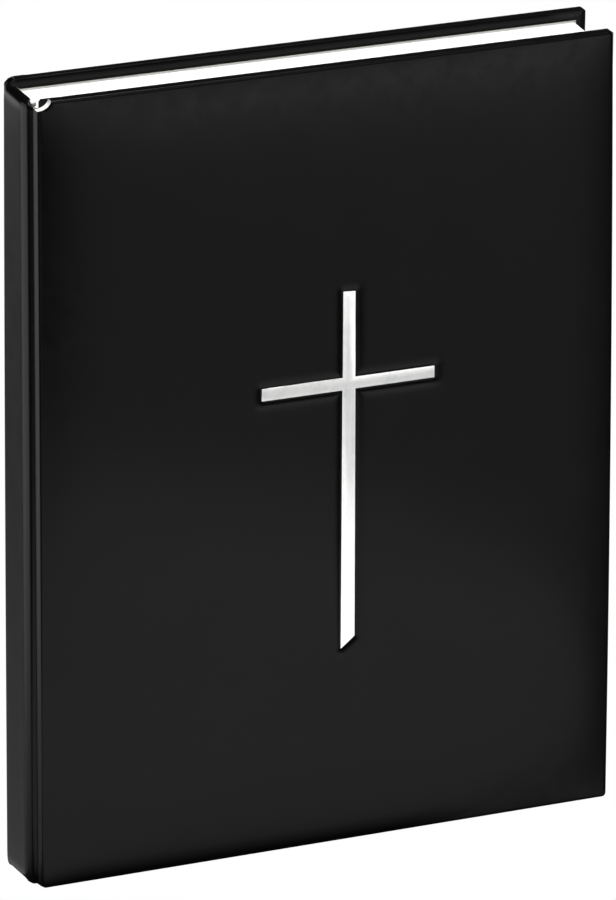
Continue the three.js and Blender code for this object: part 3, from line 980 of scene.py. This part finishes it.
def leaf_piece(node, material):
    """A free leaf: it grows out of the fold at the block's back and follows its own body past it."""
    low, high = box_mm(node)
    middle = (low.y + high.y) / 2
    outward = 1 if middle > 0 else -1
    hinge = low.x
    past_hinge = (-0.2, 0.5, 1.3, 2.3, 3.6, 5.2, 7.5, 11, 17, 28, 45, 70, 100, 135, 170, 200)
    xs = [BLOCK_BACK + 0.3, BLOCK_BACK + 0.9, *(hinge + d for d in past_hinge), high.x - 0.03]
    xs = [x for k, x in enumerate(xs) if k == 0 or x > xs[k - 1] + 0.05]
    zs = np.linspace(low.z, high.z, 15)
    rng = np.random.default_rng(SEED + int(abs(middle) * 40))
    phase = rng.uniform(0, 6.28, 2)
    points = []
    for offset in (-LEAF_THICK / 2, LEAF_THICK / 2):
        for z in zs:
            for x in xs:
                wave = LEAF_SWELL * math.sin(x / 31 + phase[0]) * math.sin(z / 47 + phase[1])
                points.append((x, middle + outward * wave + offset, z))
    faces = two_sided(len(zs), len(xs))
    piece = face_outwards(make_piece(f"{node}_sheet", points, faces, material))
    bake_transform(piece)
    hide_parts(node)


def headband(node):
    """Small band with thread wound round its core."""
    low, high = box_mm(node)
    centre = (low + high) / 2
    radius = (high.z - low.z) / 2 - 0.08  # leaves room for the thread's relief
    turns, per_turn, sides = 30, 6, 14
    rings = turns * per_turn + 1
    points = []
    for k in range(rings):
        y = low.y + (high.y - low.y) * k / (rings - 1)
        for q in range(sides):
            angle = 2 * math.pi * q / sides
            wound = 0.07 * math.sin(2 * math.pi * k / per_turn + angle)
            droop = 0.25 if k in (0, rings - 1) else 1.0
            r = (radius + wound) * droop
            points.append((centre.x + r * math.cos(angle), y, centre.z + r * math.sin(angle)))
    faces = grid_faces(rings, sides, closed=True)
    faces.append(list(range(sides)))
    faces.append([(rings - 1) * sides + q for q in reversed(range(sides))])
    piece = face_outwards(make_piece(f"{node}_wound", points, faces, THREAD))
    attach(piece, "text_block")
    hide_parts(node)


def kept_nodes():
    """CAD nodes that keep their shape and get a detailed material."""
    looks = {
        "front_board": GREYBOARD, "back_board": GREYBOARD,
        "spine_inlay": CARD, "spine_lining": ENDPAPER, "mull": CLOTH,
        "sewing_tape_tail": CLOTH, "sewing_tape_middle": CLOTH, "sewing_tape_head": CLOTH,
        "kettle_stitch_head": THREAD, "kettle_stitch_tail": THREAD,
    }
    for node, material in looks.items():
        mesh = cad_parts[node].data
        mesh.materials.clear()
        mesh.materials.append(material)


# ---- the book ----

for cover_side, cover_name in ((FRONT, "front"), (BACK, "back")):
    cover_skin(cover_side, cover_name)
    cover_foam(cover_side, cover_name)
    pastedown(cover_side, cover_name)
    joint_skin(cover_side, cover_name)
cross_piece()
spine_skin()
text_block()
for leaf in [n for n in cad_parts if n.endswith("flyleaf")]:
    leaf_piece(leaf, ENDPAPER)
for leaf in [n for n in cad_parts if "_leaf_" in n]:
    leaf_piece(leaf, LEAF)
headband("headband_head")
headband("headband_tail")
kept_nodes()


# ---- studio ----

# brightness of the room, as (component of the direction, brightness) along each axis
WORLD_STRENGTH = 3.0
HEIGHT_GLOW = [
    (-1.0, 0.05), (-0.62, 0.2), (-0.5, 0.65), (-0.43, 0.5), (-0.36, 0.15), (-0.31, 0.08), (-0.28, 0.2),
    (-0.245, 0.95), (-0.14, 1.0), (-0.08, 0.9), (-0.03, 0.3), (0.05, 0.01), (1.0, 0.01),
]
DEPTH_GLOW = [(-1.0, 1.0), (-0.85, 1.0), (-0.6, 0.3), (0.0, 0.2), (0.5, 1.0), (1.0, 1.0)]
SIDE_GLOW = [
    (-1.0, 0.45), (-0.3, 0.45), (0.0, 0.15), (0.23, 0.06), (0.30, 0.35), (0.37, 1.0), (0.45, 1.0),
    (0.54, 0.3), (1.0, 0.2),
]
FLOOR_CENTRE = (-0.08, -0.235)  # metres
FLOOR_RADII = (0.29, 0.24)
FLOOR_PAINTED_SHADE = (-0.031, -0.0195)  # painted shade: the floor's colour darkens between these y, under the book, and stays dark behind it
FLOOR_PAINTED_TONES = (0.75, 0.05)  # its painted brightness before and behind them
# painted light: the floor glows by this share of its tone, for every ray but the camera's
FLOOR_PAINTED_GLOW = 0.4
SOFTBOXES = [
    ("top_softbox", (0.0, -0.2, 3.0), (0, -0.05, 0), (1.6, 1.6), 118),
    ("left_softbox", (-1.0, 0.52, 0.2), (-0.11, 0, 0.15), (0.6, 1.1), 3.5),
    ("front_softbox", (0.6, -1.7, 1.3), (0, 0, 0.15), (0.8, 0.8), 3),
]  # (name, place, target, size, watts)
CAMERA_AZIMUTH = math.radians(23.9)
CAMERA_ELEVATION = math.radians(19.82)
CAMERA_TILT = math.radians(0.33)
CAMERA_DISTANCE = 2.972
CAMERA_LENS = 327.7
CAMERA_TARGET = ((WALL_X + 104.6) * MM, -HALF * MM, 0.1555)


def pale_floor():
    """A plain table top that the book stands on: white to the camera; to all other rays its colour has
    painted shade, darker in its reflections close to the book, and it glows with painted light."""
    rings, sides = [0.0, 0.25, 0.5, 0.75, 0.97, 1.0], 96
    (cx, cy), (rx, ry) = FLOOR_CENTRE, FLOOR_RADII
    points = [(cx, cy, 0)]
    for share in rings[1:]:
        drop = -0.003 if share == 1.0 else 0.0
        for k in range(sides):
            angle = 2 * math.pi * k / sides
            points.append((cx + rx * share * math.cos(angle), cy + ry * share * math.sin(angle), drop))
    faces = [[0, 1 + k, 1 + (k + 1) % sides] for k in range(sides)]
    around = grid_faces(len(rings) - 1, sides, flip=True, closed=True)
    faces += [[1 + q for q in quad] for quad in around]
    mesh = bpy.data.meshes.new("floor")
    mesh.from_pydata(points, [], faces)
    s = Shader("floor", Roughness=0.7, Specular_IOR_Level=0.2)
    at = s.add("ShaderNodeTexCoord").outputs["Object"]
    depth = s.add("ShaderNodeSeparateXYZ", {"Vector": at}).outputs["Y"]
    # painted shade: the floor's colour goes dark under and behind the book
    tone = s.spread(depth, *FLOOR_PAINTED_SHADE, *FLOOR_PAINTED_TONES)
    s.link(tone, "Base Color")
    # painted light: the floor glows white in proportion to its painted tone, brightest in front of the book
    s.main.inputs["Emission Color"].default_value = (1, 1, 1, 1)
    s.link(s.math("MULTIPLY", tone, FLOOR_PAINTED_GLOW), "Emission Strength")
    white = s.add("ShaderNodeEmission", {"Color": (1, 1, 1, 1), "Strength": 1.0})
    surface = s.tree.nodes["Material Output"].inputs["Surface"]
    s.tree.links.new(s.for_camera(s.main, white), surface)
    mesh.materials.append(s.material)
    floor = bpy.data.objects.new("floor", mesh)
    bpy.context.scene.collection.objects.link(floor)


def soft_light(name, place_m, target_m, size, power):
    data = bpy.data.lights.new(name, "AREA")
    data.shape = "RECTANGLE"
    data.size, data.size_y = size
    data.energy = power
    lamp = bpy.data.objects.new(name, data)
    lamp.location = place_m
    direction = Vector(target_m) - Vector(place_m)
    lamp.rotation_euler = direction.to_track_quat("-Z", "Y").to_euler()
    bpy.context.scene.collection.objects.link(lamp)


def studio_world():
    """White where the camera looks past the book; for everything else, a dim room lit from the front."""
    world = bpy.data.worlds.new("studio")
    bpy.context.scene.world = world
    world.use_nodes = True
    world.node_tree.nodes.clear()
    graph = Graph(world.node_tree)
    towards = graph.add("ShaderNodeTexCoord").outputs["Generated"]
    direction = graph.add("ShaderNodeSeparateXYZ", {"Vector": towards})

    def glow(axis, stops):
        """Brightness along one axis of the direction: stops of (component, brightness)."""
        share = graph.spread(direction.outputs[axis], -1, 1, 0, 1)
        return graph.colours(share, *(((component + 1) / 2, (value,) * 3) for component, value in stops))

    product = glow("Z", HEIGHT_GLOW)
    for axis, stops in (("Y", DEPTH_GLOW), ("X", SIDE_GLOW)):
        factors = {0: product, 1: glow(axis, stops)}
        product = graph.add("ShaderNodeVectorMath", factors, operation="MULTIPLY").outputs["Vector"]
    room = graph.add("ShaderNodeBackground", {"Color": product, "Strength": WORLD_STRENGTH})
    white = graph.add("ShaderNodeBackground", {"Color": (1, 1, 1, 1)})
    graph.add("ShaderNodeOutputWorld", {"Surface": graph.for_camera(room, white)})


def camera():
    """Long lens, from the spine's side and above."""
    level = Vector((math.sin(CAMERA_AZIMUTH), math.cos(CAMERA_AZIMUTH), 0))
    forward = level * math.cos(CAMERA_ELEVATION) - Vector((0, 0, math.sin(CAMERA_ELEVATION)))
    data = bpy.data.cameras.new("camera")
    data.sensor_fit = "VERTICAL"
    data.sensor_height = 36
    data.lens = CAMERA_LENS
    data.clip_start, data.clip_end = 0.05, 20
    view = bpy.data.objects.new("camera", data)
    view.location = Vector(CAMERA_TARGET) - forward * CAMERA_DISTANCE
    right = Vector((math.cos(CAMERA_AZIMUTH), -math.sin(CAMERA_AZIMUTH), 0))
    up = right.cross(forward)
    turned_right = right * math.cos(CAMERA_TILT) + up * math.sin(CAMERA_TILT)
    turned_up = up * math.cos(CAMERA_TILT) - right * math.sin(CAMERA_TILT)
    view.rotation_euler = Matrix((turned_right, turned_up, -forward)).transposed().to_euler()
    bpy.context.scene.collection.objects.link(view)
    bpy.context.scene.camera = view


pale_floor()
studio_world()
for softbox in SOFTBOXES:
    soft_light(*softbox)
camera()
bpy.context.scene.view_settings.view_transform = "Standard"
